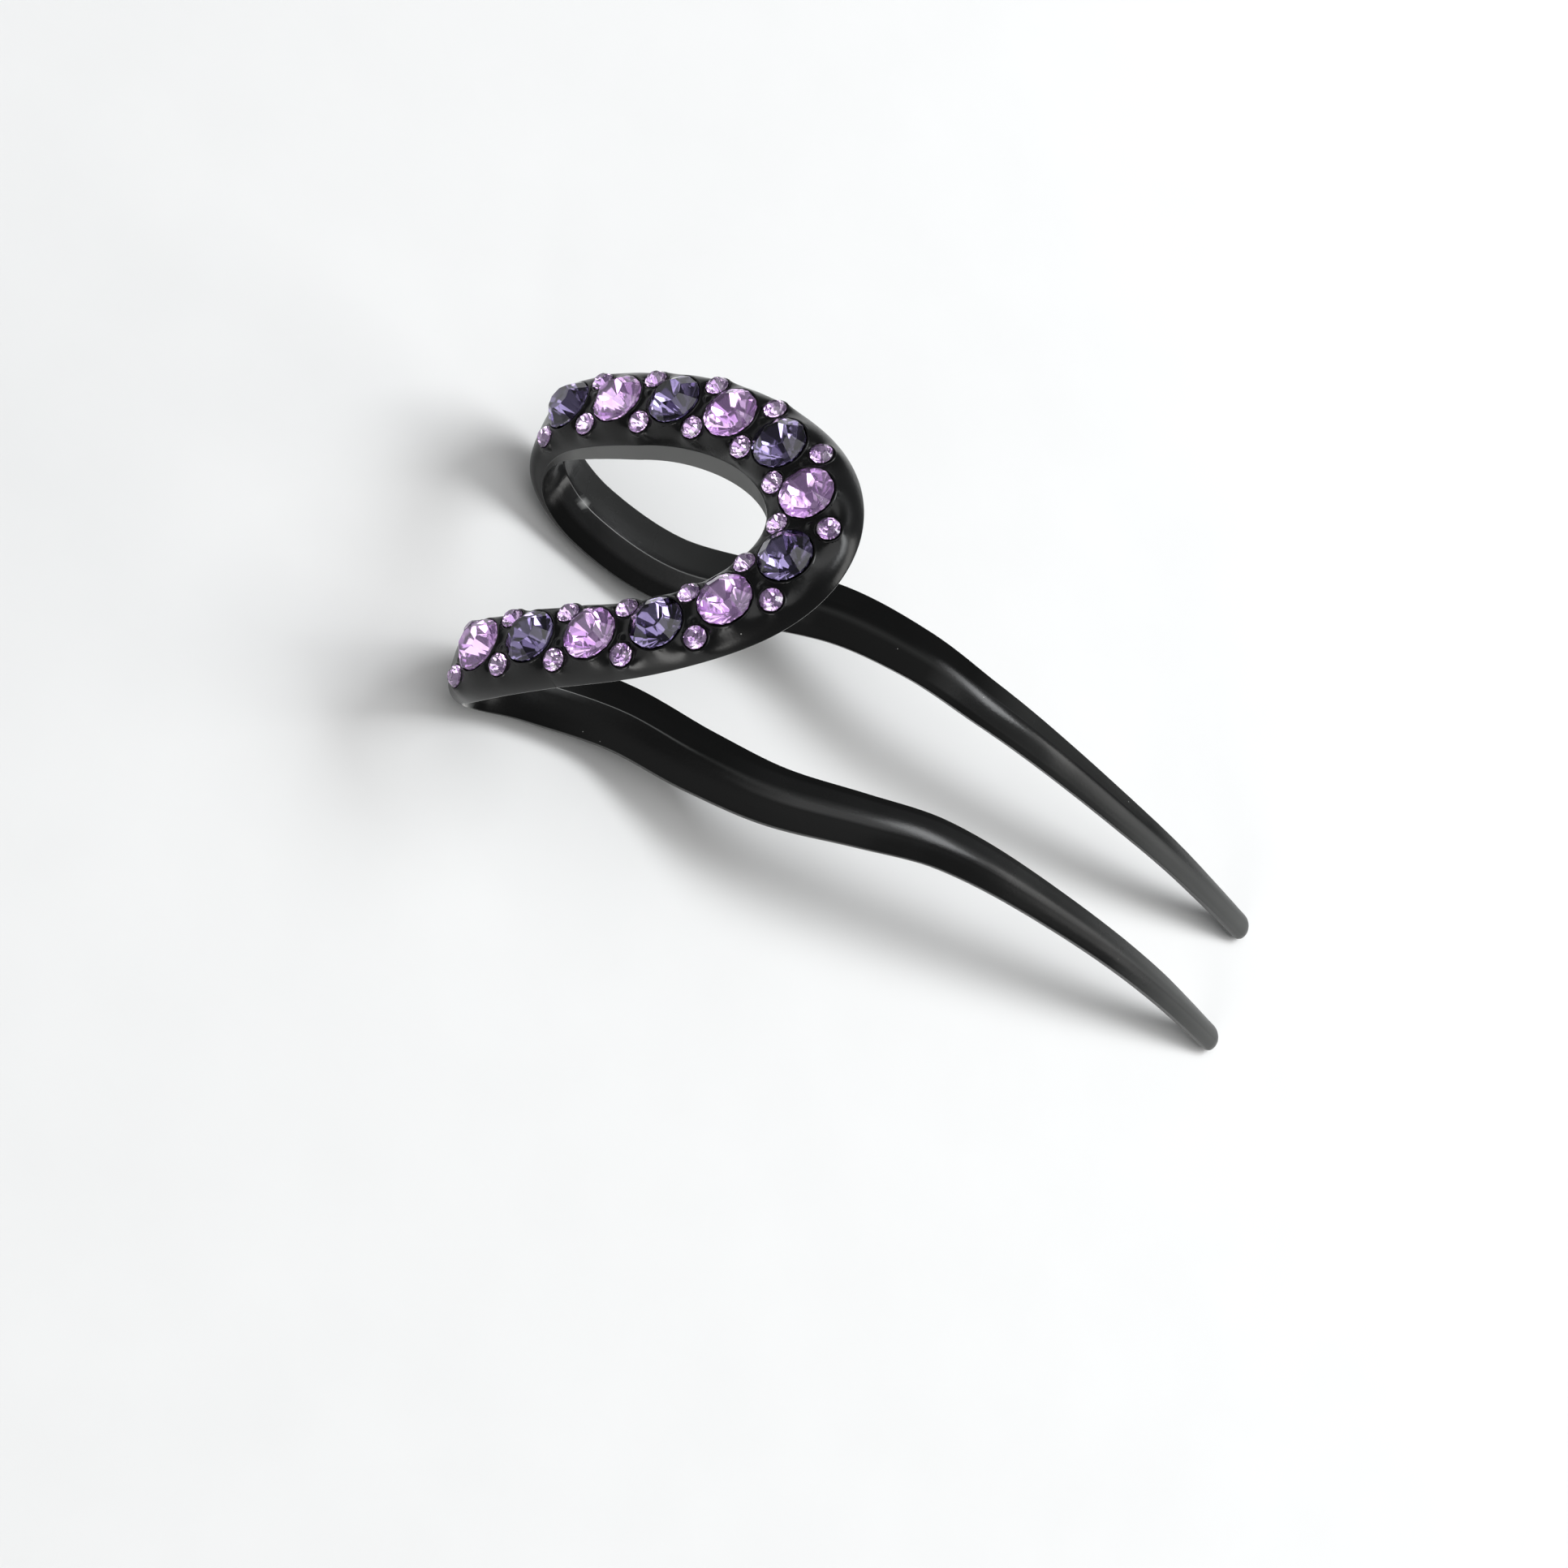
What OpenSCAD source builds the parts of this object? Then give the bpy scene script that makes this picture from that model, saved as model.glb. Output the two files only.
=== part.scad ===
// U-shaped hairpin: one moulded pin whose closed end folds back over its two prongs,
// with a row of large cut stones and two rows of small ones glued into seats on the front band.
// It stands on its folds and prong tips, as it rests by itself. Millimetres, +Z up, the closed
// end and the tips towards +X, and the origin on the floor under the middle of its box.

/* [Stone line] */
// Half the distance between the stone lines of the two legs
line_w = 16.6; // [16:0.1:17.5]
// Length of the half ellipse that closes the stone line
line_l = 28; // [26:0.5:30]
// Large stones in the row
large_count = 12; // [8:2:12]
// Distance from one large stone to the next along the row
pitch = 8.75; // [8.7:0.05:8.9]
// Distance of the small stones from the row
side_offset = 3.1; // [3.1:0.05:3.2]
// Extra distance of the three inner small stones in the bend
bend_shift = 0.4; // [0.3:0.05:0.5]

/* [Stones] */
// Diameter of a large stone
large_d = 6.8; // [6.2:0.1:6.9]
// Diameter of a small stone
small_d = 2.8; // [2.4:0.1:2.9]
// Height of the crown above the girdle, as a share of the diameter
crown_share = 0.23; // [0.18:0.01:0.28]
// Width of the table, as a share of the diameter
table_share = 0.5; // [0.4:0.01:0.6]
// Depth of the back below the girdle, as a share of the diameter
back_share = 0.36; // [0.25:0.01:0.4]
// Thickness of the girdle
girdle_h = 0.25; // [0.2:0.05:0.4]
// Height of a large stone's girdle above the plastic
large_lift = 0.25; // [0:0.05:0.4]
// Height of a small stone's girdle above the plastic
small_lift = 0.05; // [0:0.05:0.3]
// Gap between a stone and the wall of its seat
seat_gap = 0.08; // [0.05:0.01:0.12]
// Lean of the small stones away from the row
small_tilt = 16; // [12:1:18]
// Thickness of the raised collar round a small stone
collar_t = 0.3; // [0.2:0.05:0.35]

/* [Moulded pin] */
// Slope of the band at its closed end when the pin stands on the floor
lean = 53.8; // [53.5:0.1:54.1]
// Outward tilt of the section on the legs and prongs
bank = 3; // [0:1:6]
// Scale of all section widths
width_scale = 1; // [0.97:0.01:1.05]
// Scale of all section heights
height_scale = 1; // [0.97:0.01:1.05]
// Exponent of the domed outer face: 2 is an ellipse, more is squarer
dome_power = 3.3; // [3:0.1:4]
// Radius of the rounded prong tips
tip_r = 1.6; // [1.2:0.1:1.8]

/* [Hidden] */
// Side view: distance along the outer face from the closed end, and the turn of the face there
SIDE = [
  // distance, turn
  [  0,   0.0],
  [ 20,   6.5],
  [ 34,  17.0],
  [ 43,  34.0],
  [ 50,  58.5],
  [ 58, 103.0],
  [ 62, 117.0],
  [ 71, 132.0],
  [ 90, 148.0],
  [101, 150.5],
  [112, 142.0],
  [123, 127.0],
  [134, 117.5],
  [156, 111.0],
  [168, 106.0],
  [184, 101.0]
];
// Half the distance between the two legs, and then between the two prongs
SPREAD = [
  // distance, half spacing
  [ 28, 0.0],
  [ 36, 0.4],
  [ 44, 0.5],
  [ 50, -0.3],
  [ 56, -1.5],
  [ 65, -3.8],
  [ 78, -5.4],
  [ 90, -3.9],
  [101, -2.9],
  [112, -4.1],
  [123, -6.0],
  [146, -7.3],
  [168, -7.8],
  [184, -7.9]
];
// Section of the pin, measured from the crown of its domed face: place and depth of the inner
// edge and of the outer edge, place and depth of the lower inner edge, and depth of the ridge
SECTION = [
  // distance, inner, its depth, outer, its depth, lower, its depth, ridge depth
  [  0, 5.7, 1.6, 5.8, 3.6, 6.2, 3.9, 5.0],
  [ 10, 5.0, 2.4, 5.1, 2.9, 6.3, 4.1, 4.8],
  [ 20, 4.9, 2.7, 5.1, 2.8, 6.3, 4.0, 4.7],
  [ 36, 4.9, 2.7, 5.5, 2.5, 6.0, 3.8, 4.6],
  [ 48, 4.7, 2.6, 5.0, 2.6, 5.1, 3.1, 4.2],
  [ 58, 4.6, 2.6, 4.7, 2.7, 4.8, 2.9, 4.1],
  [ 75, 4.8, 2.7, 4.6, 2.7, 4.9, 3.0, 4.1],
  [ 90, 4.6, 2.7, 4.4, 2.7, 4.7, 3.0, 4.1],
  [112, 3.7, 2.5, 3.7, 2.5, 3.8, 2.8, 3.8],
  [140, 2.8, 2.1, 2.8, 2.1, 2.9, 2.3, 3.1],
  [168, 1.9, 1.7, 1.9, 1.7, 2.0, 1.9, 2.4],
  [184, 1.5, 1.4, 1.5, 1.4, 1.6, 1.6, 2.0]
];
// Shares of the half width at which the dome has its points
DOME_AT = [-1, -0.96, -0.85, -0.6, -0.3, 0, 0.3, 0.6, 0.85, 0.96, 1];
// Share of the full dome that is kept between the two edges
dome_share = 0.97;
side_step = 0.5;
bend_steps = 14;
pin_l = SIDE[len(SIDE) - 1][0];
fold_from = 40;
fold_to = 66;
end_gap = 0.01;

// Tables
function row_before(x, t, i = 0) =
  (i >= len(t) - 2 || x < t[i + 1][0]) ? i : row_before(x, t, i + 1);
function rise(t, c, i) =
  let (a = max(i - 1, 0), b = min(i + 1, len(t) - 1)) (t[b][c] - t[a][c]) / (t[b][0] - t[a][0]);
// Smooth value of column c of table t at distance x
function smooth(x, t, c) =
  let (
    i = row_before(x, t),
    w = t[i + 1][0] - t[i][0],
    f = min(max((x - t[i][0]) / w, 0), 1),
    g = 1 - f
  )
  t[i][c] * g * g * (1 + 2 * f) + t[i + 1][c] * f * f * (3 - 2 * f)
  + w * f * g * (rise(t, c, i) * g - rise(t, c, i + 1) * f);

// Side view of the outer face: a walk along it, with its slope as the heading
function slope_at(s) = lean + smooth(s, SIDE, 1);
side_walk = [
  for (i = 0, x = 0, z = 0;
       i * side_step <= pin_l;
       a = slope_at((i + 0.5) * side_step),
       x = x - side_step * cos(a),
       z = z - side_step * sin(a),
       i = i + 1)
  [i * side_step, x, z]
];
side_x = [for (p = side_walk) [p[0], p[1]]];
side_z = [for (p = side_walk) [p[0], p[2]]];

// Centre line of one half, unrolled: up to 90 it runs round the half ellipse by angle,
// and past 90 along the leg, fold and prong by millimetre. Gives [distance, half spacing, direction].
function leg_spread(s) = line_w + smooth(s, SPREAD, 1);
function line_at(p) =
  p < 90
  ? [line_l * (1 - cos(p)), line_w * sin(p), atan2(line_w * cos(p), line_l * sin(p))]
  : let (s = line_l + p - 90)
    [s, leg_spread(s), atan2(leg_spread(s + 0.2) - leg_spread(s - 0.2), 0.4)];
arc_walk = [
  for (p = 0, a = 0;
       p <= 130;
       q = line_at(p),
       p = p + 1,
       r = line_at(p),
       a = a + norm([r[0] - q[0], r[1] - q[1]]))
  [a, p]
];

// Axes at a point of the centre line: place, outward axis across the band, and face normal
function axes_at(p, v = 0) =
  let (
    c = line_at(p),
    s = c[0] - v * sin(c[2]),
    y = c[1] + v * cos(c[2]),
    a = slope_at(s),
    along = [-cos(a), 0, -sin(a)],
    up = [-sin(a), 0, cos(a)],
    across = -sin(c[2]) * along + cos(c[2]) * [0, 1, 0],
    roll = bank * min(p / 90, 1)
  )
  [
    [lookup(s, side_x), y, lookup(s, side_z)],
    across * cos(roll) - up * sin(roll),
    up * cos(roll) + across * sin(roll),
    s
  ];

// Height of the dome at a share of its half width, from 0 at the crown to -1 at the edge
function dome_drop(q) = 1 - pow(1 - pow(dome_share * abs(q), dome_power), 1 / dome_power);
function dome_h(q) = -dome_drop(q) / dome_drop(1);
// Place and height of a point of the dome at a share of its half width, at distance s
function dome_at(s, q) =
  let (side = q < 0 ? 1 : 3)
  [width_scale * q * smooth(s, SECTION, side), height_scale * dome_h(q) * smooth(s, SECTION, side + 1)];

// Section as [across, up] from the crown of the dome: the dome and then the underside
function section_at(s) =
  let (
    w = width_scale,
    h = height_scale,
    outer = smooth(s, SECTION, 3),
    outer_depth = smooth(s, SECTION, 4),
    ridge = smooth(s, SECTION, 7)
  )
  concat(
    [for (q = DOME_AT) dome_at(s, q)],
    [
      [0.5 * outer * w, -(0.45 * outer_depth + 0.55 * ridge) * h],
      [-0.1 * outer * w, -ridge * h],
      [-smooth(s, SECTION, 5) * w, -smooth(s, SECTION, 6) * h]
    ]
  );
// The rounded tip shrinks about the middle of its section
function tip_scale(s) = s > pin_l - tip_r ? sqrt(max(1 - pow((s - pin_l + tip_r) / tip_r, 2), 0.02)) : 1;
function ring_at(p) =
  let (
    f = axes_at(p),
    k = tip_scale(f[3]),
    middle = -0.5 * height_scale * smooth(f[3], SECTION, 7)
  )
  [for (q = section_at(f[3])) f[0] + k * q[0] * f[1] + (middle + k * (q[1] - middle)) * f[2]];

// Stations of the rings on one half, from the closed end to the tip
leg_at = line_l - 90;
stations = concat(
  [for (i = [0:bend_steps - 1]) i * 90 / bend_steps],
  [for (s = [line_l:2:fold_from - 0.1]) s - leg_at],
  [for (s = [fold_from:1.3:fold_to - 0.1]) s - leg_at],
  [for (s = [fold_to:2.8:pin_l - tip_r - 1]) s - leg_at],
  [for (a = [0:22.5:90]) pin_l - tip_r + (tip_r - end_gap) * sin(a) - leg_at]
);
half_rings = [for (p = stations) ring_at(p)];

function mirrored(r) = [for (p = r) [p[0], -p[1], p[2]]];
pin_rings = concat(
  [for (i = [len(half_rings) - 1:-1:0]) half_rings[i]],
  [for (i = [1:len(half_rings) - 1]) mirrored(half_rings[i])]
);

// A closed skin through a row of rings with the same number of points
module skin(rings) {
  n = len(rings[0]);
  last = len(rings) - 1;
  polyhedron(
    points = [for (r = rings) each r],
    faces = concat(
      [[for (i = [n - 1:-1:0]) i]],
      [for (k = [0:last - 1], i = [0:n - 1])
        let (j = (i + 1) % n)
        each [
          [k * n + i, k * n + j, (k + 1) * n + i],
          [k * n + j, (k + 1) * n + j, (k + 1) * n + i]
        ]],
      [[for (i = [0:n - 1]) last * n + i]]
    ),
    convexity = 10
  );
}

// Stone places: each is [distance along the row from the closed end, side, distance off the row]
half_count = large_count / 2;
LARGE = [
  for (k = [1:large_count])
  let (a = (half_count + 0.5 - k) * pitch)
  [abs(a), sign(a), 0]
];
function inner_offset(gap) = side_offset + (gap <= 1 ? bend_shift : 0);
SMALL = concat(
  [for (g = [half_count:-1:0]) [g * pitch, 1, side_offset]],
  [for (g = [1:half_count]) [g * pitch, -1, side_offset]],
  [for (g = [half_count:-1:0]) [g * pitch, 1, -inner_offset(g)]],
  [for (g = [1:half_count]) [g * pitch, -1, -inner_offset(g)]]
);

// A stone's seat: its middle on the face, the axis away from the row, and the face normal.
// The small stones lean away from the row.
function seat_axes(place) =
  let (
    f = axes_at(lookup(place[0], arc_walk)),
    half = width_scale * smooth(f[3], SECTION, place[2] < 0 ? 1 : 3),
    tilt = small_tilt * sign(place[2])
  )
  [
    f[0] + place[2] * f[1] + dome_at(f[3], place[2] / half)[1] * f[2],
    f[1] * cos(tilt) - f[2] * sin(tilt),
    f[2] * cos(tilt) + f[1] * sin(tilt)
  ];

// Lowest x of a stone: that of its girdle circle or of its table
function circle_x(o, n, r) = o[0] - r * sqrt(1 - n[0] * n[0]);
function stone_x(place, d, lift) =
  let (
    a = seat_axes(place),
    girdle = a[0] + (lift + girdle_h) * a[2],
    table = girdle + d * crown_share * a[2]
  )
  min(circle_x(girdle, a[2], d / 2), circle_x(table, a[2], d / 2 * table_share));

// Moves everything so that the floor and the middle of the whole box are at the origin
all_points = [for (r = half_rings) each r];
low_x = min(concat(
  [for (p = all_points) p[0]],
  [for (s = LARGE) stone_x(s, large_d, large_lift)],
  [for (s = SMALL) stone_x(s, small_d, small_lift)]
));
high_x = max([for (p = all_points) p[0]]);
floor_z = min([for (p = all_points) p[2]]);
home = [-(low_x + high_x) / 2, 0, -floor_z];

// Moves a stone or its cutter from the origin to its seat
module at_seat(place) {
  a = seat_axes(place);
  o = a[0] + home;
  along = cross(a[2], a[1]);
  mirror([0, place[1] < 0 ? 1 : 0, 0])
    multmatrix([
      [a[1][0], along[0], a[2][0], o[0]],
      [a[1][1], along[1], a[2][1], o[1]],
      [a[1][2], along[2], a[2][2], o[2]],
      [0, 0, 0, 1]
    ])
      children();
}

// A cut stone: table, 8 star, 8 kite and 16 girdle facets over a blunt 8-sided back.
// The kites are flat because the star points lie in the plane from table corner to girdle.
module cut_stone(d, lift) {
  r = d / 2;
  crown = d * crown_share;
  table_r = r * table_share;
  star_r = r * 0.8;
  star_z = crown * (r - star_r * cos(22.5)) / (r - table_r);
  base = lift + girdle_h;
  function ring(radius, z, n, turn = 0) =
    [for (i = [0:n - 1]) [radius * cos(turn + i * 360 / n), radius * sin(turn + i * 360 / n), z]];
  points = concat(
    ring(table_r, base + crown, 8),
    ring(star_r, base + star_z, 8, 22.5),
    ring(r, base, 16),
    ring(r, lift, 16),
    ring(r * 0.3, lift - d * back_share, 8)
  );
  faces = concat(
    [[for (i = [7:-1:0]) i]],
    [for (i = [0:7]) [i, (i + 1) % 8, 8 + i]],
    [for (i = [0:7]) [i, 8 + i, 16 + 2 * i, 8 + (i + 7) % 8]],
    [for (i = [0:7]) each [
      [8 + i, 17 + 2 * i, 16 + 2 * i],
      [8 + i, 16 + (2 * i + 2) % 16, 17 + 2 * i]
    ]],
    [for (i = [0:15]) [16 + i, 16 + (i + 1) % 16, 32 + (i + 1) % 16, 32 + i]],
    [for (i = [0:7]) each [
      [32 + 2 * i, 33 + 2 * i, 48 + i],
      [33 + 2 * i, 48 + (i + 1) % 8, 48 + i],
      [33 + 2 * i, 32 + (2 * i + 2) % 16, 48 + (i + 1) % 8]
    ]],
    [[for (i = [0:7]) 48 + i]]
  );
  polyhedron(points = points, faces = faces, convexity = 2);
}

// The round seat that a stone is glued into
module seat(d, lift) {
  depth = d * back_share + seat_gap - lift;
  translate([0, 0, -depth])
    cylinder(r = d / 2 + seat_gap, h = depth + 2, $fn = 48);
}

// The raised collar round a small stone's seat
module collar(d) {
  root = d * back_share + 0.6;
  translate([0, 0, -root])
    cylinder(r = d / 2 + seat_gap + collar_t, h = root, $fn = 48);
}

module pin() {
  color([0.07, 0.07, 0.08])
    difference() {
      union() {
        translate(home) skin(pin_rings);
        for (s = SMALL) at_seat(s) collar(small_d);
      }
      for (s = LARGE) at_seat(s) seat(large_d, large_lift);
      for (s = SMALL) at_seat(s) seat(small_d, small_lift);
    }
}

// Large stones alternate: odd ones are dark violet, even ones lilac
module large_stone(k) {
  color(k % 2 == 1 ? [0.25, 0.22, 0.42] : [0.76, 0.6, 0.84])
    at_seat(LARGE[k - 1]) cut_stone(large_d, large_lift);
}

module small_stone(k) {
  color([0.8, 0.66, 0.86])
    at_seat(SMALL[k - 1]) cut_stone(small_d, small_lift);
}

pin();
for (k = [1:len(LARGE)])
  large_stone(k);
for (k = [1:len(SMALL)])
  small_stone(k);
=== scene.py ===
# U-shaped hairpin, as it rests by itself on its two folds and its prong tips.
# Lengths are in millimetres until a mesh is finished, and then in metres.
import math

import bmesh
import bpy
import numpy as np
from mathutils import Matrix, Vector


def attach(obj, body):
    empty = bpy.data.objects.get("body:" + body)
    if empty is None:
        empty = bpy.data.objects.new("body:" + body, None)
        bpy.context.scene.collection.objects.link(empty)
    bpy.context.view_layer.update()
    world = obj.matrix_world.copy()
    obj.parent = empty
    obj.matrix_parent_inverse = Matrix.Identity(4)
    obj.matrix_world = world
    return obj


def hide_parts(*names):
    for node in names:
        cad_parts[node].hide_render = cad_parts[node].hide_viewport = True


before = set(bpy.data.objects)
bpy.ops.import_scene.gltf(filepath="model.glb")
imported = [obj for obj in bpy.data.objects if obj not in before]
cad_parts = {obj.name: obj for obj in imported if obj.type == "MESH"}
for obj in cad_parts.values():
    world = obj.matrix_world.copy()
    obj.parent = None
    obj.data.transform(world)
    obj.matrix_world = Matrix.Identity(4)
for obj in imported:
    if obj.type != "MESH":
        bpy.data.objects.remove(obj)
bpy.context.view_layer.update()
scene = bpy.context.scene


# ---- The studio ----
# A pale matt floor under large soft lights, and the camera at the photo's angle to the pin.
# None of it is part of the hairpin.
def new_material(name):
    m = bpy.data.materials.new(name)
    m.use_nodes = True
    nodes = m.node_tree.nodes
    at = nodes.new("ShaderNodeTexCoord").outputs["Object"]
    return m, nodes, m.node_tree.links, nodes["Principled BSDF"], at


def set_values(node, **values):
    for name, value in values.items():
        node.inputs[name.replace("_", " ")].default_value = value


def noise_node(nodes, links, at, scale, detail):
    n = nodes.new("ShaderNodeTexNoise")
    set_values(n, Scale=scale, Detail=detail)
    links.new(at, n.inputs["Vector"])
    return n.outputs["Fac"]


def mix_node(nodes, links, share, a, b):
    n = nodes.new("ShaderNodeMix")
    n.data_type = "RGBA"
    for socket, x in ((n.inputs["Factor"], share), (n.inputs["A"], a), (n.inputs["B"], b)):
        if isinstance(x, bpy.types.NodeSocket):
            links.new(x, socket)
        else:
            socket.default_value = x
    return n.outputs["Result"]


camera = bpy.data.objects.new("camera", bpy.data.cameras.new("camera"))
camera.location = (-0.2076, -0.1884, 0.3947)
camera.rotation_euler = [math.radians(a) for a in (12.466, -32.183, 20.185)]
camera.data.lens = 83.81
camera.data.sensor_width = 36
camera.data.clip_start = 0.01
scene.collection.objects.link(camera)
scene.camera = camera

FLOOR_HALF = 2.5
bm = bmesh.new()
bmesh.ops.create_grid(bm, x_segments=1, y_segments=1, size=FLOOR_HALF)
floor = bpy.data.objects.new("floor", bpy.data.meshes.new("floor"))
bm.to_mesh(floor.data)
bm.free()
scene.collection.objects.link(floor)
m, nodes, links, shader, at = new_material("pale floor")
grain = noise_node(nodes, links, at, 60, 6)
pale_tone = mix_node(nodes, links, grain, (0.72, 0.72, 0.715, 1), (0.76, 0.76, 0.755, 1))
links.new(pale_tone, shader.inputs["Base Color"])
set_values(shader, Roughness=0.75)
floor.data.materials.append(m)

world = bpy.data.worlds.new("studio")
world.use_nodes = True
set_values(world.node_tree.nodes["Background"], Color=(0.94, 0.97, 1, 1), Strength=0.2)
scene.world = world
scene.view_settings.view_transform = "Standard"
# Each lamp: bearing from +X and height in degrees, distance, width, length, power, tint
for name, bearing, height, distance, wide, tall, power, tint in (
    ("overhead light", 170, 76, 1.1, 1.0, 1.0, 5.6, (1, 1, 1)),
    ("window light", 14, 33, 0.8, 0.45, 0.22, 1.5, (1, 0.99, 0.97)),
    ("side light", 47, 60, 0.8, 0.46, 0.26, 4.4, (0.96, 0.98, 1)),
    ("front light", -98, 10, 0.7, 0.5, 0.22, 2.6, (1, 0.99, 0.97)),
):
    lamp = bpy.data.lights.new(name, "AREA")
    lamp.shape = "RECTANGLE"
    lamp.size, lamp.size_y = wide, tall
    lamp.energy = power
    lamp.color = tint
    light = bpy.data.objects.new(name, lamp)
    b, h = math.radians(bearing), math.radians(height)
    towards = Vector((math.cos(b) * math.cos(h), math.sin(b) * math.cos(h), math.sin(h)))
    light.location = distance * towards
    light.rotation_euler = towards.to_track_quat("Z", "Y").to_euler()
    scene.collection.objects.link(light)


# ---- The pin ----
# One moulding of black plastic: a domed band round the closed end, folded back under itself
# into two ridged prongs. It is swept along its centre line, with the seats sunk into its dome.
# Crown of the band at its closed end, as the pin stands on the floor
HOME = (-44.189, 0, 52.0232)
# Half the distance between the stone lines of the legs, and the length of the half ellipse
# that closes them
LINE_W, LINE_L = 16.6, 28
# Slope of the band at its closed end, and outward tilt of the legs and prongs, in degrees
LEAN, BANK = 53.8, 3
PIN_L, TIP_R = 184.7, 1.9
# Distance along the domed face from the closed end, and the turn of the face there
SIDE = (
    (0, 0), (20, 6.5), (34, 17), (43, 34), (50, 58.5), (58, 103), (62, 117), (71, 132),
    (90, 148), (101, 150.5), (112, 142), (123, 127), (134, 117.5), (156, 111), (168, 106),
    (184, 102.6),
)
# Distance, and what the legs and prongs add to LINE_W
SPREAD = (
    (28, 0), (36, 0.4), (44, 0.5), (50, -0.3), (56, -1.5), (65, -3.8), (78, -5.4), (90, -3.9),
    (101, -2.9), (112, -4.1), (123, -6), (146, -7.3), (168, -7.8), (184, -7.9),
)
# Distance, then place and depth of the inner edge, outer edge and lower edge, and ridge depth
SECTION = (
    (0, 5.7, 1.6, 5.8, 3.6, 6.2, 3.9, 5.0),
    (10, 5.0, 2.4, 5.1, 2.9, 6.3, 4.1, 4.8),
    (20, 4.9, 2.7, 5.1, 2.8, 6.3, 4.0, 4.7),
    (36, 4.9, 2.7, 5.5, 2.5, 6.0, 3.8, 4.6),
    (48, 4.7, 2.6, 5.0, 2.6, 5.1, 3.1, 4.2),
    (58, 4.6, 2.6, 4.7, 2.7, 4.8, 2.9, 4.1),
    (75, 4.8, 2.7, 4.6, 2.7, 4.9, 3.0, 4.1),
    (90, 4.6, 2.7, 4.4, 2.7, 4.7, 3.0, 4.1),
    (112, 3.7, 2.5, 3.7, 2.5, 3.8, 2.8, 3.8),
    (140, 2.8, 2.1, 2.8, 2.1, 2.9, 2.3, 3.1),
    (168, 2.1, 1.8, 2.1, 1.8, 2.2, 2.1, 2.7),
    (184, 1.85, 1.5, 1.85, 1.5, 1.9, 1.9, 2.5),
)
# Distance, and how far the ridge is rounded to each side
RIDGE_ROUND = (
    (0, 0.9), (40, 0.8), (52, 0.22), (80, 0.22), (92, 0.8), (108, 1.8), (134, 1.7), (156, 0.8),
    (184, 0.6),
)
# Distance, and how much wider and deeper the outer shoulder is before the fold
SHOULDER = (
    (0, 0, 0), (22, 0, 0), (32, 0.25, 0.4), (42, 0.4, 0.6), (50, 0.2, 0.4), (58, 0, 0),
    (184, 0, 0),
)


# Smooth value of one column of a table at distance s
def smooth(s, table, column):
    rows = len(table)
    i = 0
    while i < rows - 2 and s >= table[i + 1][0]:
        i += 1
    slope = []
    for k in (i, i + 1):
        a, b = table[max(k - 1, 0)], table[min(k + 1, rows - 1)]
        slope.append((b[column] - a[column]) / (b[0] - a[0]))
    a, b = table[i], table[i + 1]
    w = b[0] - a[0]
    f = min(max((s - a[0]) / w, 0), 1)
    g = 1 - f
    return (
        a[column] * g * g * (1 + 2 * f)
        + b[column] * f * f * (3 - 2 * f)
        + w * f * g * (slope[0] * g - slope[1] * f)
    )


# The crown of the domed face seen from the side: distance, x and z
WALK_STEP = 0.5
walk = [(0, 0, 0)]
while walk[-1][0] < PIN_L + 1:
    s, x, z = walk[-1]
    a = math.radians(LEAN + smooth(s + WALK_STEP / 2, SIDE, 1))
    walk.append((s + WALK_STEP, x - WALK_STEP * math.cos(a), z - WALK_STEP * math.sin(a)))
walk = np.array(walk)


# Distance, half spacing and turn of the line at p. Up to 90, p is the angle round the half
# ellipse of the closed end, and past 90 it adds millimetres
def line_at(p):
    if p < 90:
        r = math.radians(p)
        turn = math.atan2(LINE_W * math.cos(r), LINE_L * math.sin(r))
        return LINE_L * (1 - math.cos(r)), LINE_W * math.sin(r), turn
    s = LINE_L + p - 90
    before, here, after = [smooth(s + d, SPREAD, 1) for d in (-0.2, 0, 0.2)]
    return s, LINE_W + here, math.atan2(after - before, 0.4)


def axes_at(p):
    s, y, turn = line_at(p)
    a = math.radians(LEAN + smooth(s, SIDE, 1))
    up = np.array((-math.sin(a), 0, math.cos(a)))
    across = np.array((math.sin(turn) * math.cos(a), math.cos(turn), math.sin(turn) * math.sin(a)))
    roll = math.radians(BANK * min(p / 90, 1))
    x, z = [np.interp(s, walk[:, 0], walk[:, column]) for column in (1, 2)]
    return (
        np.array((x, y, z)) + HOME,
        across * math.cos(roll) - up * math.sin(roll),
        up * math.cos(roll) + across * math.sin(roll),
        s,
    )


def length_along(points):
    return np.concatenate(([0], np.cumsum(np.linalg.norm(np.diff(points, axis=0), axis=1))))


LINE_END = 131
row_length = length_along(np.array([line_at(p)[:2] for p in range(LINE_END)]))


def point_of_length(length):
    return float(np.interp(length, row_length, range(LINE_END)))


# Exponent of the domed face, and the share of the full dome that lies between its two edges
DOME_POWER, DOME_SHARE = 3.3, 0.97


def dome_height(q):
    full = 1 - (1 - DOME_SHARE**DOME_POWER) ** (1 / DOME_POWER)
    return -(1 - (1 - (DOME_SHARE * abs(q)) ** DOME_POWER) ** (1 / DOME_POWER)) / full


# Shares of the half width of the dome, evenly spaced along the outline of a usual one
DOME_N = 66
q_fine = np.linspace(-1, 1, 2001)
outline_length = length_along(np.array([(5.0 * q, 2.7 * dome_height(q)) for q in q_fine]))
dome_q = np.interp(np.linspace(0, outline_length[-1], DOME_N), outline_length, q_fine)


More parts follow.
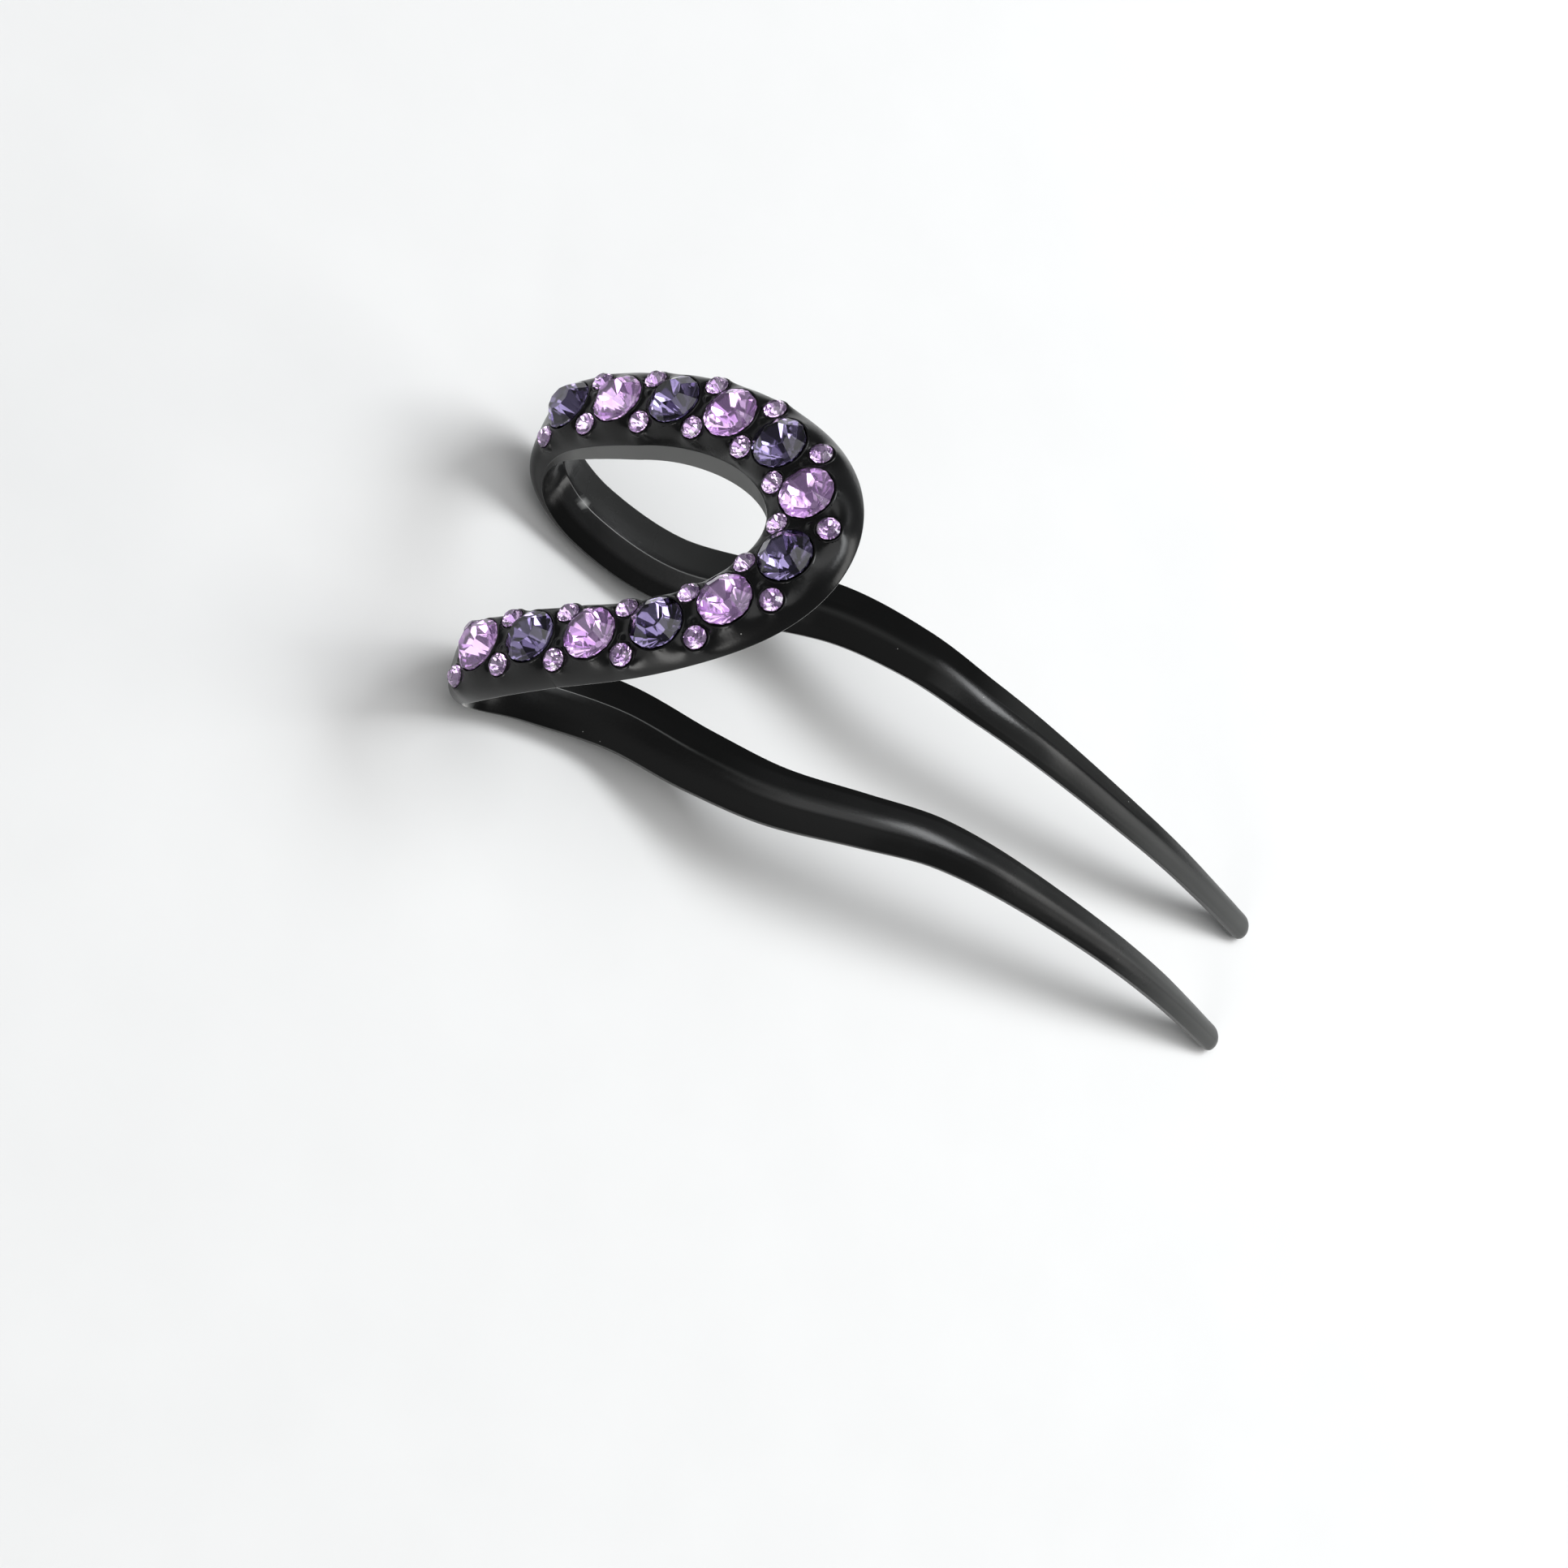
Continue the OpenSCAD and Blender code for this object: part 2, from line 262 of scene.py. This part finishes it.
# Corner c rounded between its neighbours a and b, starting r away from it
def rounded(a, c, b, r, n):
    a, c, b = Vector(a), Vector(c), Vector(b)
    start = c + (a - c).normalized() * min(r, (a - c).length * 0.45)
    end = c + (b - c).normalized() * min(r, (b - c).length * 0.45)
    out = []
    for i in range(n):
        t = i / (n - 1)
        out.append(tuple(start * (1 - t) ** 2 + c * 2 * t * (1 - t) + end * t * t))
    return out


def between(a, b, n):
    return [tuple(Vector(a).lerp(Vector(b), (i + 1) / (n + 1))) for i in range(n)]


# Round the section: 64 points of the dome, 4 of the outer edge, 5 of the flank, 5 of the ridge,
# 4 of the lower face, 4 of the lower edge, 3 of the inner wall and 4 of the inner edge
def section_at(s):
    inner, inner_h, outer, outer_h = [smooth(s, SECTION, c) for c in (1, 2, 3, 4)]
    lower, lower_h, ridge_h = [smooth(s, SECTION, c) for c in (5, 6, 7)]
    outer, outer_h = outer + smooth(s, SHOULDER, 1), outer_h + smooth(s, SHOULDER, 2)
    dome = [
        (inner * q, inner_h * dome_height(q)) if q < 0 else (outer * q, outer_h * dome_height(q))
        for q in dome_q
    ]
    ridge = (-0.1 * outer, -ridge_h)
    flank = (0.5 * outer, -(0.45 * outer_h + 0.55 * ridge_h))
    low = (-lower, -lower_h)
    r = 0.16 * min(inner / 4, 1)
    outer_edge = rounded(dome[-2], dome[-1], flank, r, 4)
    ridge_edge = rounded(flank, ridge, low, smooth(s, RIDGE_ROUND, 1), 5)
    low_edge = rounded(ridge, low, dome[0], r, 4)
    inner_edge = rounded(low, dome[0], dome[1], r, 4)
    return (
        dome[1:-1]
        + outer_edge
        + between(outer_edge[-1], flank, 2) + [flank]
        + between(flank, ridge_edge[0], 2)
        + ridge_edge
        + between(ridge_edge[-1], low_edge[0], 4)
        + low_edge
        + between(low_edge[-1], inner_edge[0], 3)
        + inner_edge
    )


OUTER_EDGE_HIGHLIGHT, FLANK, RIDGE, RIDGE_HIGHLIGHT_LINE = slice(65, 67), slice(67, 73), slice(73, 78), slice(75, 76)
WALL, INNER_EDGE_HIGHLIGHT = slice(83, 90), slice(90, 92)

# Where the section begins to turn round towards the tip, over what length, and how round it gets
ROUND_FROM, ROUND_OVER, ROUND_SHARE = 168, 14, 0.85


def ring_at(p):
    o, across, up, s = axes_at(p)
    past = max(s - PIN_L + TIP_R, 0) / TIP_R
    taper = math.sqrt(max(1 - past**2, 0.0))
    middle = -0.5 * smooth(s, SECTION, 7)
    share = ROUND_SHARE * min(max((s - ROUND_FROM) / ROUND_OVER, 0), 1)
    wide = smooth(s, SECTION, 3)
    ring = []
    for v, h in section_at(s):
        h -= middle
        size = taper * (1 - share + share / math.hypot(v / wide, h / middle))
        ring.append(o + size * v * across + (middle + size * h) * up)
    return ring


# Stations from the closed end to a tip: close together where the stones sit
LEG_START = LINE_L - 90
stations = [point_of_length(a) for a in np.arange(0, 57, 0.19)]
fold_start, fold_end, tip_start = stations[-1] + LEG_START, 66, PIN_L - TIP_R
stations += [s - LEG_START for s in np.arange(fold_start + 0.4, fold_end, 0.6)]
stations += [s - LEG_START for s in np.arange(fold_end, tip_start - 0.3, 1.3)]
for a in range(0, 91, 9):
    stations.append(tip_start + (TIP_R - 0.01) * math.sin(math.radians(a)) - LEG_START)
half = np.array([ring_at(p) for p in stations])
skin = np.concatenate((half[::-1], half[1:] * (1, -1, 1)))
rings, around = skin.shape[:2]
closed_end = len(stations) - 1

# Stones: distance along the row from the closed end, side, distance off the row
PITCH, SIDE_OFFSET, BEND_SHIFT, SMALL_TILT = 8.75, 3.1, 0.4, 16
GAPS = [(g, 1) for g in range(6, -1, -1)] + [(g, -1) for g in range(1, 7)]
LARGE = [(abs((6.5 - k) * PITCH), 1 if k < 6.5 else -1, 0) for k in range(1, 13)]
SMALL = [(g * PITCH, side, SIDE_OFFSET) for g, side in GAPS]
SMALL += [(g * PITCH, side, -SIDE_OFFSET - (BEND_SHIFT if g <= 1 else 0)) for g, side in GAPS]


# Place on the dome, direction away from the row and direction out of the plastic
def dome_axes(p, v, side):
    o, across, up, s = axes_at(p)
    width, depth = [smooth(s, SECTION, column) for column in ((1, 2) if v < 0 else (3, 4))]
    o = o + v * across + depth * dome_height(v / width) * up
    tilt = math.radians(SMALL_TILT) * np.sign(v)
    out = across * math.cos(tilt) - up * math.sin(tilt)
    normal = up * math.cos(tilt) + across * math.sin(tilt)
    return [part * (1, side, 1) for part in (o, out, normal)]


def seat_axes(stone):
    length, side, v = stone
    return dome_axes(point_of_length(length), v, side)


# Height of points above a seat, and their distance from its middle line
def off_seat(points, axes):
    o, out, n = axes
    height = (points - o) @ n
    return height, np.linalg.norm(points - o - np.multiply.outer(height, n), axis=-1)


dome_skin = skin[:, : DOME_N - 2]
normals = np.cross(np.gradient(dome_skin, axis=0), np.gradient(dome_skin, axis=1))
normals /= np.linalg.norm(normals, axis=2, keepdims=True)
if np.mean(normals[rings // 2] @ seat_axes(SMALL[6])[2]) < 0:
    normals = -normals

# Each seat: radius, height of its lip, depth, how far the plastic swells round it and fades,
# and the steps round its lip
LARGE_SEAT = {"radius": 3.45, "lip": 0.18, "depth": 2.34, "swell": 0.75, "fade": 0.55, "steps": 72}
SMALL_SEAT = {"radius": 1.48, "lip": -0.02, "depth": 1.0, "swell": 1.0, "fade": 0.8, "steps": 40}
seats = [(seat_axes(p), LARGE_SEAT) for p in LARGE] + [(seat_axes(p), SMALL_SEAT) for p in SMALL]
swell = np.zeros(dome_skin.shape)
inside_q = dome_q[1:-1]
edge_fade = np.clip((1 - np.abs(inside_q)) / 0.12, 0, 1)
# the shoulder is a little fuller all along the rows of small seats
ROW_END, FULLER = 58, 0.35
for i, p in enumerate(stations):
    s = line_at(p)[0]
    if s > ROW_END:
        break
    for v in (-SIDE_OFFSET, SIDE_OFFSET):
        past_row = inside_q * smooth(s, SECTION, 3 if v > 0 else 1) / v > 1
        along_row = min((ROW_END - s) / 8, 1) * (1 if v < 0 else min(s / 30, 1) ** 2)
        for row, side in ((closed_end - i, 1), (closed_end + i, -1)):
            o, out, n = dome_axes(p, v, side)
            need = -((dome_skin[row] - o) @ n) * FULLER * edge_fade * along_row
            swell[row] += np.multiply.outer(np.where(past_row, np.maximum(need, 0), 0), n)
swell[closed_end] /= 2
# the plastic swells up to each seat's lip
for axes, seat in seats:
    height, far = off_seat(dome_skin, axes)
    near = np.clip((seat["radius"] + seat["swell"] - far) / seat["fade"], 0, 1)
    need = np.where(np.abs(height) < 2.5, seat["lip"] - height, 0)
    need = need * near**2 * (3 - 2 * near) * edge_fade
    more = need > np.linalg.norm(swell, axis=2)
    swell = np.where(more[..., None], np.multiply.outer(need, axes[2]), swell)
# between the seats it is drawn smooth, most of all on the shoulders
held = np.zeros(dome_skin.shape[:2], bool)
for axes, seat in seats:
    height, far = off_seat(dome_skin, axes)
    held |= (far < seat["radius"] + 0.3) & (np.abs(height) < 2.5)
SMOOTHINGS, MIDDLE_SMOOTHINGS = 40, 6
for i in range(SMOOTHINGS):
    if i == MIDDLE_SMOOTHINGS:
        held |= np.abs(inside_q) < 0.5
    soft = swell.copy()
    soft[1:-1] = (swell[:-2] + 2 * swell[1:-1] + swell[2:]) / 4
    soft[:, 1:-1] = (soft[:, :-2] + 2 * soft[:, 1:-1] + soft[:, 2:]) / 4
    swell = np.where(held[..., None], swell, soft)
# small nubs between neighbouring large stones
NUB_OFF, NUB_R, NUB_H = 0.95, 0.75, 0.38
for g, side in GAPS:
    o, across = axes_at(point_of_length(g * PITCH))[:2]
    nub = (o + NUB_OFF * across) * (1, side, 1)
    off = np.linalg.norm(dome_skin - nub, axis=2) / NUB_R
    rise = NUB_H * np.clip(1 - off**2, 0, 1) ** 1.5
    more = rise > np.linalg.norm(swell, axis=2)
    swell = np.where(more[..., None], normals * rise[..., None], swell)
dome_skin = dome_skin + swell
# and the seats are sunk into it
for axes, seat in seats:
    height, far = off_seat(dome_skin, axes)
    sunk = (far < seat["radius"] + 0.09) & (np.abs(height) < 1.6)
    bottom = dome_skin - np.multiply.outer(height + seat["depth"], axes[2])
    dome_skin = np.where(sunk[..., None], bottom, dome_skin)
skin[:, : DOME_N - 2] = dome_skin

# a shallow sink in the throat of each fold, where the thick plastic drew in as it cooled
THROAT_AT, THROAT_REACH, SINK_H = 51.5, 2.4, 0.55
reach = [line_at(p)[0] for p in stations]
reach = np.array(reach[::-1] + reach[1:])[:, None]
columns = np.arange(67, 84)
sink = np.exp(-(((reach - THROAT_AT) / THROAT_REACH) ** 2)) * np.exp(-(((columns - 75) / 4.5) ** 2))
sink *= 1 + 0.12 * np.sin(2.2 * reach + 0.15 * columns)
inward = skin.mean(axis=1)[:, None] - skin[:, columns]
inward /= np.linalg.norm(inward, axis=2, keepdims=True)
skin[:, columns] += inward * SINK_H * sink[..., None]


def along(distances, amounts):
    return np.interp(reach, distances, amounts)


def at_least(layer, columns, amounts):
    layer[:, columns] = np.maximum(layer[:, columns], amounts)


far_leg = np.arange(rings)[:, None] < rings // 2
# How matt and grey the plastic is, from 0 to 1: the inner wall of the band most, where the grey is
# a painted reflection, the far leg's flank in its fold and on its rise, where it is a painted sheen
# on that leg only, and the prongs more towards the tips
grey_and_painted_light = np.tile(along((0, 120, 146, 168, 184), (0, 0.03, 0.12, 0.42, 0.66)), (1, around))
grey_and_painted_light[:, 67:74] = along((0, 155, 184), (0, 0.03, 0.62))
# painted sheen: only the far leg's flank is painted greyer, in its fold and on its rise
at_least(grey_and_painted_light, FLANK, far_leg * along((50, 60, 80, 98), (0, 0.17, 0.12, 0)))
at_least(grey_and_painted_light, FLANK, far_leg * along((118, 128, 150, 162), (0, 0.12, 0.12, 0)))
# painted reflection: the inner wall of the band is painted grey, fading out from 40 to 48 along
at_least(grey_and_painted_light, WALL, along((40, 48), (1, 0)))
# From 1 to 2 it is a painted highlight: a thin pale line painted along the parting line of both
# edges of the band and along the ridge of the fold, where they catch the light, and a pale patch
# painted at the bend as its highlight
# painted highlights: pale lines on the outer edge, at the bend, on the inner edge and on the ridge
# of the fold
at_least(grey_and_painted_light, OUTER_EDGE_HIGHLIGHT, along((42, 58), (2.1, 0.4)))
at_least(grey_and_painted_light, slice(63, 68), along((46, 48, 52, 55), (0, 1.7, 1.7, 0)))
near_edge_highlight = along((30, 50), (1.8, 0.2))
at_least(grey_and_painted_light, INNER_EDGE_HIGHLIGHT, np.where(far_leg, along((0, 8, 40, 50), (1.7, 0.9, 0.9, 0)), near_edge_highlight))
at_least(grey_and_painted_light, RIDGE_HIGHLIGHT_LINE, along((58, 61, 63, 70, 90), (0, 1.2, 2, 1.5, 0.1)))
at_least(grey_and_painted_light, RIDGE, along((61.4, 62.1, 62.7, 63.4), (0, 1.45, 1.45, 0)))
# How much the plastic reflects, from 0 to 1: the flat faces of the prongs less than the band
shine = np.ones((rings, around))
flats = along((48, 56, 150, 175), (1, 0.15, 0.3, 0.8))
shine[:, 66:73] = np.where(far_leg, 0.6 * along((90, 104), (1, 0)) + 0.4 * flats, flats)
shine[:, 80:88] = flats * np.where(far_leg, along((92, 100, 150, 170), (1, 0.4, 0.4, 1)), 1)
# The ridge is black just past each fold, brightest where the prong rises, and duller towards
# the tip. From 1 to 2 it is also more polished, as in the throat of the fold
far_ridge = along((92, 98, 114, 121, 126, 133, 140, 156), (1, 0.08, 0.1, 1, 1.6, 1.3, 0.5, 0.4))
near_ridge = along((68, 74, 92, 104, 134, 142, 156), (1, 0.25, 0.25, 1, 0.9, 0.5, 0.4))
shine[:, 73:80] = np.where(far_leg, far_ridge, near_ridge)
shine[:, 69:84] += along((50, 52, 57, 60), (0, 1, 1, 0))

bm = bmesh.new()
grey_and_painted_light_layer = bm.verts.layers.float.new("grey_and_painted_light")
shine_layer = bm.verts.layers.float.new("shine")
bmesh.ops.create_grid(bm, x_segments=rings - 1, y_segments=around, size=1)
for v in bm.verts:
    i = round((v.co.x + 1) / 2 * (rings - 1))
    j = round((v.co.y + 1) / 2 * around) % around
    v.co = skin[i, j]
    v[grey_and_painted_light_layer] = grey_and_painted_light[i, j]
    v[shine_layer] = shine[i, j]
bmesh.ops.remove_doubles(bm, verts=bm.verts, dist=1e-5)
bmesh.ops.holes_fill(bm, edges=[e for e in bm.edges if e.is_boundary], sides=0)
bmesh.ops.recalc_face_normals(bm, faces=bm.faces)
pin = bpy.data.objects.new("moulded_pin", bpy.data.meshes.new("moulded_pin"))


# A thin lip stands round each seat; its inner side is the round wall of the seat
def seat_matrix(axes):
    o, out, n = axes
    third = np.cross(n, out)
    return Matrix([[out[i], third[i], n[i], o[i]] for i in range(3)] + [[0, 0, 0, 1]])


for axes, seat in seats:
    lip, bottom = seat["lip"], -seat["depth"] - 0.05
    profile = (
        (0, bottom), (0, lip), (0.03, lip + 0.05), (0.09, lip + 0.07), (0.17, lip + 0.06),
        (0.25, lip + 0.02), (0.36, lip - 0.25), (0.4, bottom),
    )
    ring = bmesh.new()
    points = [ring.verts.new((seat["radius"] + r, 0, h)) for r, h in profile]
    edges = [ring.edges.new(pair) for pair in zip(points, points[1:] + points[:1])]
    bmesh.ops.spin(
        ring, geom=points + edges, cent=(0, 0, 0), axis=(0, 0, 1), angle=math.tau,
        steps=seat["steps"], use_merge=True,
    )
    bmesh.ops.transform(ring, matrix=seat_matrix(axes), verts=ring.verts)
    bmesh.ops.recalc_face_normals(ring, faces=ring.faces)
    lip_shine = ring.verts.layers.float.new("shine")
    for v in ring.verts:
        v[lip_shine] = 1
    ring.to_mesh(pin.data)
    ring.free()
    bm.from_mesh(pin.data)
bmesh.ops.scale(bm, vec=(0.001,) * 3, verts=bm.verts)
bm.to_mesh(pin.data)
bm.free()
pin.data.shade_smooth()
pin.data.set_sharp_from_angle(angle=math.radians(50))
scene.collection.objects.link(pin)


def ramp_node(nodes, links, value, low, high, out_low, out_high):
    n = nodes.new("ShaderNodeMapRange")
    limits = (("From Min", low), ("From Max", high), ("To Min", out_low), ("To Max", out_high))
    for name, x in limits:
        n.inputs[name].default_value = x
    links.new(value, n.inputs["Value"])
    return n.outputs["Result"]


def math_node(nodes, links, operation, *values):
    n = nodes.new("ShaderNodeMath")
    n.operation = operation
    for socket, x in zip(n.inputs, values):
        if isinstance(x, bpy.types.NodeSocket):
            links.new(x, socket)
        else:
            socket.default_value = x
    return n.outputs["Value"]


def layer_node(nodes, name):
    n = nodes.new("ShaderNodeAttribute")
    n.attribute_name = name
    return n.outputs["Fac"]


m, nodes, links, shader, at = new_material("black plastic")
# the layer carries the plastic's greyness together with its painted reflection, sheen and
# highlights
grey_and_painted_light_fac, bright = layer_node(nodes, "grey_and_painted_light"), layer_node(nodes, "shine")
cloud = noise_node(nodes, links, at, 90, 5)
fine_grain = noise_node(nodes, links, at, 2200, 4)
black = mix_node(nodes, links, cloud, (0.0018, 0.0018, 0.0018, 1), (0.004, 0.004, 0.004, 1))
# grey: a painted reflection on the inner wall, a painted sheen on the far leg's flank, and matt
# grey towards the prong tips
grey = mix_node(nodes, links, cloud, (0.115, 0.117, 0.115, 1), (0.155, 0.157, 0.153, 1))
# painted highlight: where the layer passes 1, a pale grey is painted on the edges, the ridge of the
# fold and the bend
painted_highlight_share = ramp_node(nodes, links, grey_and_painted_light_fac, 1.05, 2, 0, 1)
colour_with_painted_light = mix_node(nodes, links, grey_and_painted_light_fac, black, grey)
colour_with_painted_light = mix_node(nodes, links, painted_highlight_share, colour_with_painted_light, (0.4, 0.4, 0.39, 1))
# a few pale specks of dust
dust = nodes.new("ShaderNodeTexVoronoi")
set_values(dust, Scale=230)
links.new(at, dust.inputs["Vector"])
speck = ramp_node(nodes, links, dust.outputs["Distance"], 0.012, 0.02, 0.8, 0)
colour_with_painted_light = mix_node(nodes, links, speck, colour_with_painted_light, (0.4, 0.4, 0.38, 1))
links.new(colour_with_painted_light, shader.inputs["Base Color"])
gloss = ramp_node(nodes, links, cloud, 0.3, 0.7, 0.2, 0.3)
rough = math_node(nodes, links, "MULTIPLY_ADD", grey_and_painted_light_fac, 0.2, gloss)
polish = ramp_node(nodes, links, bright, 1, 2, 1, 0.5)
links.new(math_node(nodes, links, "MULTIPLY", rough, polish), shader.inputs["Roughness"])
links.new(ramp_node(nodes, links, bright, 0, 1, 0, 0.32), shader.inputs["Specular IOR Level"])
bump = nodes.new("ShaderNodeBump")
set_values(bump, Strength=0.2, Distance=0.00005)
links.new(fine_grain, bump.inputs["Height"])
links.new(bump.outputs["Normal"], shader.inputs["Normal"])
set_values(shader, IOR=1.45)
pin.data.materials.append(m)
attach(pin, "root")
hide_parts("pin")


# ---- The large stones ----
# Twelve round glass stones with foiled backs, dark violet and lilac by turns, glued into the
# seats. Each is cut with a table, star, kite and girdle facets over a pointed back.
LARGE_D, LARGE_LIFT = 6.8, 0.25
GIRDLE_H = 0.25
# Width of the table, height of the crown, depth of the back and width of its blunt point, as
# shares of the diameter
TABLE, CROWN, BACK, POINT = 0.52, 0.23, 0.36, 0.14


def cut_stone(d, lift, seed):
    r = d / 2
    b = bmesh.new()
    for radius, z, turn in (
        (TABLE * r, lift + GIRDLE_H + CROWN * d, 22.5),
        (r, lift + GIRDLE_H, 14), (r, lift + GIRDLE_H, -14), (r, lift, 14), (r, lift, -14),
        (POINT * r, lift - BACK * d, 22.5),
    ):
        turned = Matrix.Translation((0, 0, z)) @ Matrix.Rotation(math.radians(turn), 4, "Z")
        bmesh.ops.create_circle(b, cap_ends=False, segments=8, radius=radius, matrix=turned)
    bmesh.ops.convex_hull(b, input=b.verts)
    bmesh.ops.dissolve_limit(b, angle_limit=math.radians(1), verts=b.verts, edges=b.edges)
    bmesh.ops.recalc_face_normals(b, faces=b.faces)
    # painted reflection: every facet of the foiled back is painted its own brightness, for the
    # light and dark it would reflect
    facet = b.faces.layers.float.new("facet")
    below = lift - 0.01
    for f in b.faces:
        c = f.calc_center_median()
        f.material_index = 1 if c.z < below else 0
        bearing = math.atan2(c.y, c.x) if c.xy.length > 0.1 else 0
        f[facet] = 0.5 + 0.5 * math.sin(seed * 5.3 + 3 * bearing)
    front_edges = [
        e for e in b.edges if e.calc_face_angle(0) > 0.1 and min(v.co.z for v in e.verts) > below
    ]
    bmesh.ops.bevel(
        b, geom=front_edges, offset=0.018 if d > 4 else 0.012, segments=1, profile=0.5,
        affect="EDGES", material=-1,
    )
    # no two stones are glued in at quite the same angle
    turn, lean_x, lean_y = [math.sin(seed * 12.9 + i * 7.3) for i in range(3)]
    leaned = Matrix.Rotation(lean_x * 0.02, 4, "X") @ Matrix.Rotation(lean_y * 0.02, 4, "Y")
    bmesh.ops.transform(b, matrix=leaned @ Matrix.Rotation(turn * 0.39, 4, "Z"), verts=b.verts)
    return b


def place_stone(name, place, d, lift, seed, materials):
    b = cut_stone(d, lift, seed)
    into_seat = Matrix.Scale(0.001, 4) @ seat_matrix(seat_axes(place))
    bmesh.ops.transform(b, matrix=into_seat, verts=b.verts)
    if place[1] < 0:
        bmesh.ops.recalc_face_normals(b, faces=b.faces)
    stone = bpy.data.objects.new(name, bpy.data.meshes.new(name))
    b.to_mesh(stone.data)
    b.free()
    for m in materials:
        stone.data.materials.append(m)
    scene.collection.objects.link(stone)
    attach(stone, "root")
    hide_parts(name)


# foil_dark and foil_light are the two ends of the brightness painted on the foil facets as their
# reflections
def stone_materials(name, glass, foil_dark, foil_light, foil_rough, clearness):
    clear, nodes, links, shader, at = new_material(name + " glass")
    haze = noise_node(nodes, links, at, 400, 3)
    paler = [min(1, c * 1.04) for c in glass[:3]] + [1]
    links.new(mix_node(nodes, links, haze, glass, paler), shader.inputs["Base Color"])
    links.new(ramp_node(nodes, links, haze, 0.4, 0.8, 0.0, 0.03), shader.inputs["Roughness"])
    set_values(shader, Transmission_Weight=clearness, IOR=1.56, Specular_IOR_Level=0.8)
    foil, nodes, links, shader, at = new_material(name + " foil")
    # painted reflection: each foil facet gets a colour between the dark and the light foil by its
    # painted brightness
    share = ramp_node(nodes, links, layer_node(nodes, "facet"), 0.3, 0.7, 0, 1)
    links.new(mix_node(nodes, links, share, foil_dark, foil_light), shader.inputs["Base Color"])
    patches = noise_node(nodes, links, at, 700, 3)
    rough = ramp_node(nodes, links, patches, 0.3, 0.7, foil_rough, foil_rough + 0.1)
    links.new(rough, shader.inputs["Roughness"])
    set_values(shader, Metallic=1.0)
    return clear, foil


violet = stone_materials(
    "violet", (0.23, 0.195, 0.36, 1), (0.14, 0.12, 0.18, 1), (1, 0.98, 1, 1), 0.02, 1.0
)
lilac = stone_materials(
    "lilac", (0.75, 0.51, 0.86, 1), (0.66, 0.54, 0.72, 1), (1, 0.98, 1, 1), 0.05, 0.92
)
for k, place in enumerate(LARGE, 1):
    colour, slot_name = (violet, "violet_stone") if k % 2 else (lilac, "lilac_stone")
    place_stone(f"large_stone_{k}", place, LARGE_D, LARGE_LIFT, k, colour)


# ---- The small stones ----
# Twenty-six small pale lilac stones of the same cut, in two rows beside the large ones.
# They sit in raised collars that lean away from the row.
SMALL_D, SMALL_LIFT = 2.8, 0.05
pale = stone_materials(
    "pale lilac", (0.8, 0.62, 0.89, 1), (0.6, 0.5, 0.66, 1), (1, 0.96, 1, 1), 0.04, 0.96
)
for k, place in enumerate(SMALL, 1):
    place_stone(f"small_stone_{k}", place, SMALL_D, SMALL_LIFT, 20 + k, pale)
